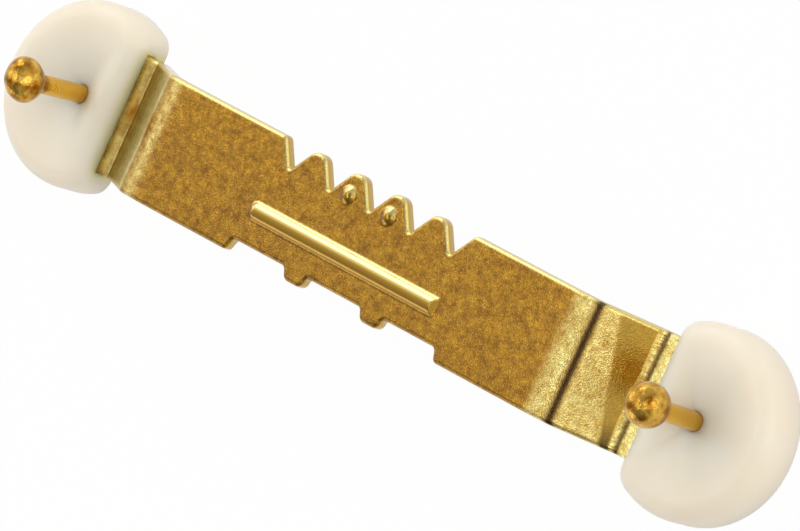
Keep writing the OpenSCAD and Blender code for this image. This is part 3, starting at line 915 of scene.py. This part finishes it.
# The left head is squeezed along one direction, flattened on top, and lumpy
SQUEEZED_ALONG, SQUEEZED, FLATTENED = Vector((0.92, 0.39, 0)), 0.17, 0.12
LUMP_SIZE, LUMP_H = 0.9 * MM, 0.035 * MM
# Patches of polish on the heads, and the nicks of handling, which are drawn coarse enough to show
PATCH_SIZE, NICK_SIZE, NICK_DEPTH = 0.7 * MM, 0.3 * MM, 0.09 * MM


def nail_profile():
    """Radius and height above the head's middle, from the top of the head down to the point."""
    both = HEAD_R + NECK_R
    neck_x = SHANK_R + NECK_R
    neck_z = -math.sqrt(both ** 2 - neck_x ** 2)
    meet = math.atan2(neck_x, -neck_z)
    head_turn = math.pi - meet
    turns = [head_turn * i / 48 for i in range(1, 49)]
    profile = [(HEAD_R * math.sin(a), HEAD_R * math.cos(a)) for a in turns]
    for i in range(1, 11):
        a = meet + (math.pi / 2 - meet) * i / 10
        profile.append((neck_x - NECK_R * math.sin(a), neck_z + NECK_R * math.cos(a)))
    tip = HEAD_R - NAIL_L
    profile += [(SHANK_R, z) for z in stations(tip + POINT_L, neck_z, 0.2 * MM)[-2::-1]]
    profile += [(SHANK_R + (POINT_R - SHANK_R) * i / 8, tip + POINT_L * (1 - i / 8)) for i in range(1, 9)]
    return profile


def nail_shape(spot, battered):
    """The wear of one nail: where a point of the turned shape ends up."""
    on_head = max(0.0, min(1.0, (spot.z + HEAD_R) / (0.5 * HEAD_R)))
    if not battered:
        return spot * (1 - HEAD_WORN * on_head)
    squeezed = spot - SQUEEZED * on_head * spot.dot(SQUEEZED_ALONG) * SQUEEZED_ALONG
    squeezed.z *= 1 - FLATTENED * on_head
    lumps = noise.noise(squeezed / LUMP_SIZE) * LUMP_H
    return squeezed + on_head * lumps * squeezed.normalized()


def nail_finish():
    """Drawn brass wire: the head patchy with handling and nicks, the shank plain and brighter."""
    material = bpy.data.materials.new("drawn_brass")
    material.use_nodes = True
    tree = material.node_tree
    shader = tree.nodes["Principled BSDF"]
    place = add(tree, "ShaderNodeTexCoord").outputs["Object"]
    patches = add(tree, "ShaderNodeTexNoise", {"Vector": place, "Scale": 1 / PATCH_SIZE, "Detail": 5})
    handled = add(tree, "ShaderNodeMapRange", {
        "Value": patches.outputs["Fac"], "From Min": 0.35, "From Max": 0.65,
    })
    tint = add(tree, "ShaderNodeMix", {
        "Factor": handled.outputs["Result"], "A": linear("#925A0C"), "B": linear("#E2B650"),
    }, data_type="RGBA")
    split = add(tree, "ShaderNodeSeparateXYZ", {0: place})
    shank = add(tree, "ShaderNodeMapRange", {
        "Value": split.outputs["Z"], "From Min": SHANK_TOP, "From Max": SHANK_TOP - SHANK_FADE,
    })
    coloured = add(tree, "ShaderNodeMix", {
        "Factor": shank.outputs["Result"], "A": tint.outputs["Result"], "B": linear("#ECBC4A"),
    }, data_type="RGBA")
    tree.links.new(coloured.outputs["Result"], shader.inputs["Base Color"])
    nicks = add(tree, "ShaderNodeTexNoise", {"Vector": place, "Scale": 1 / NICK_SIZE, "Detail": 4})
    bump = add(tree, "ShaderNodeBump", {
        "Height": nicks.outputs["Fac"], "Distance": NICK_DEPTH, "Strength": 0.7,
    })
    tree.links.new(bump.outputs[0], shader.inputs["Normal"])
    shader.inputs["Metallic"].default_value = 1.0
    shader.inputs["Roughness"].default_value = 0.19
    return material


nail_brass = nail_finish()
profile = nail_profile()
around = [2 * math.pi * k / NAIL_SIDES for k in range(NAIL_SIDES)]
for node, turn in (("left_nail", 0), ("right_nail", math.pi)):
    low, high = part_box(node)
    head_z = hole_middle.z + (high.z - HEAD_R - hole_middle.z) / math.cos(NAIL_LEAN)
    bumper_low, bumper_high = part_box(node.replace("nail", "bumper"))
    nail_x = bumper_high.x - BUMPER_FLAT if turn == 0 else bumper_low.x + BUMPER_FLAT
    bm = bmesh.new()
    rings = []
    for r, z in profile:
        ring = [Vector((r * math.cos(a), r * math.sin(a), z)) for a in around]
        rings.append([bm.verts.new(nail_shape(p, turn == 0)) for p in ring])
    for upper, lower in zip(rings, rings[1:]):
        for k in range(NAIL_SIDES):
            j = (k + 1) % NAIL_SIDES
            bm.faces.new((upper[k], lower[k], lower[j], upper[j]))
    for ring, pole in ((rings[0], HEAD_R), (rings[-1], HEAD_R - NAIL_L - POINT_R / 2)):
        middle = bm.verts.new(nail_shape(Vector((0, 0, pole)), turn == 0))
        for k in range(NAIL_SIDES):
            bm.faces.new((ring[k], ring[(k + 1) % NAIL_SIDES], middle))
    bmesh.ops.recalc_face_normals(bm, faces=bm.faces)
    mesh = bpy.data.meshes.new(node + "_wire")
    bm.to_mesh(mesh)
    bm.free()
    mesh.transform(Matrix.Translation((nail_x, 0, 0)) @ Matrix.Rotation(turn, 4, "Z") @ leaning
                   @ Matrix.Translation((0, 0, head_z)))
    mesh.materials.append(nail_brass)
    mesh.shade_smooth()
    nail = bpy.data.objects.new(node + "_wire", mesh)
    scene.collection.objects.link(nail)
    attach(nail, node)
    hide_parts(node)
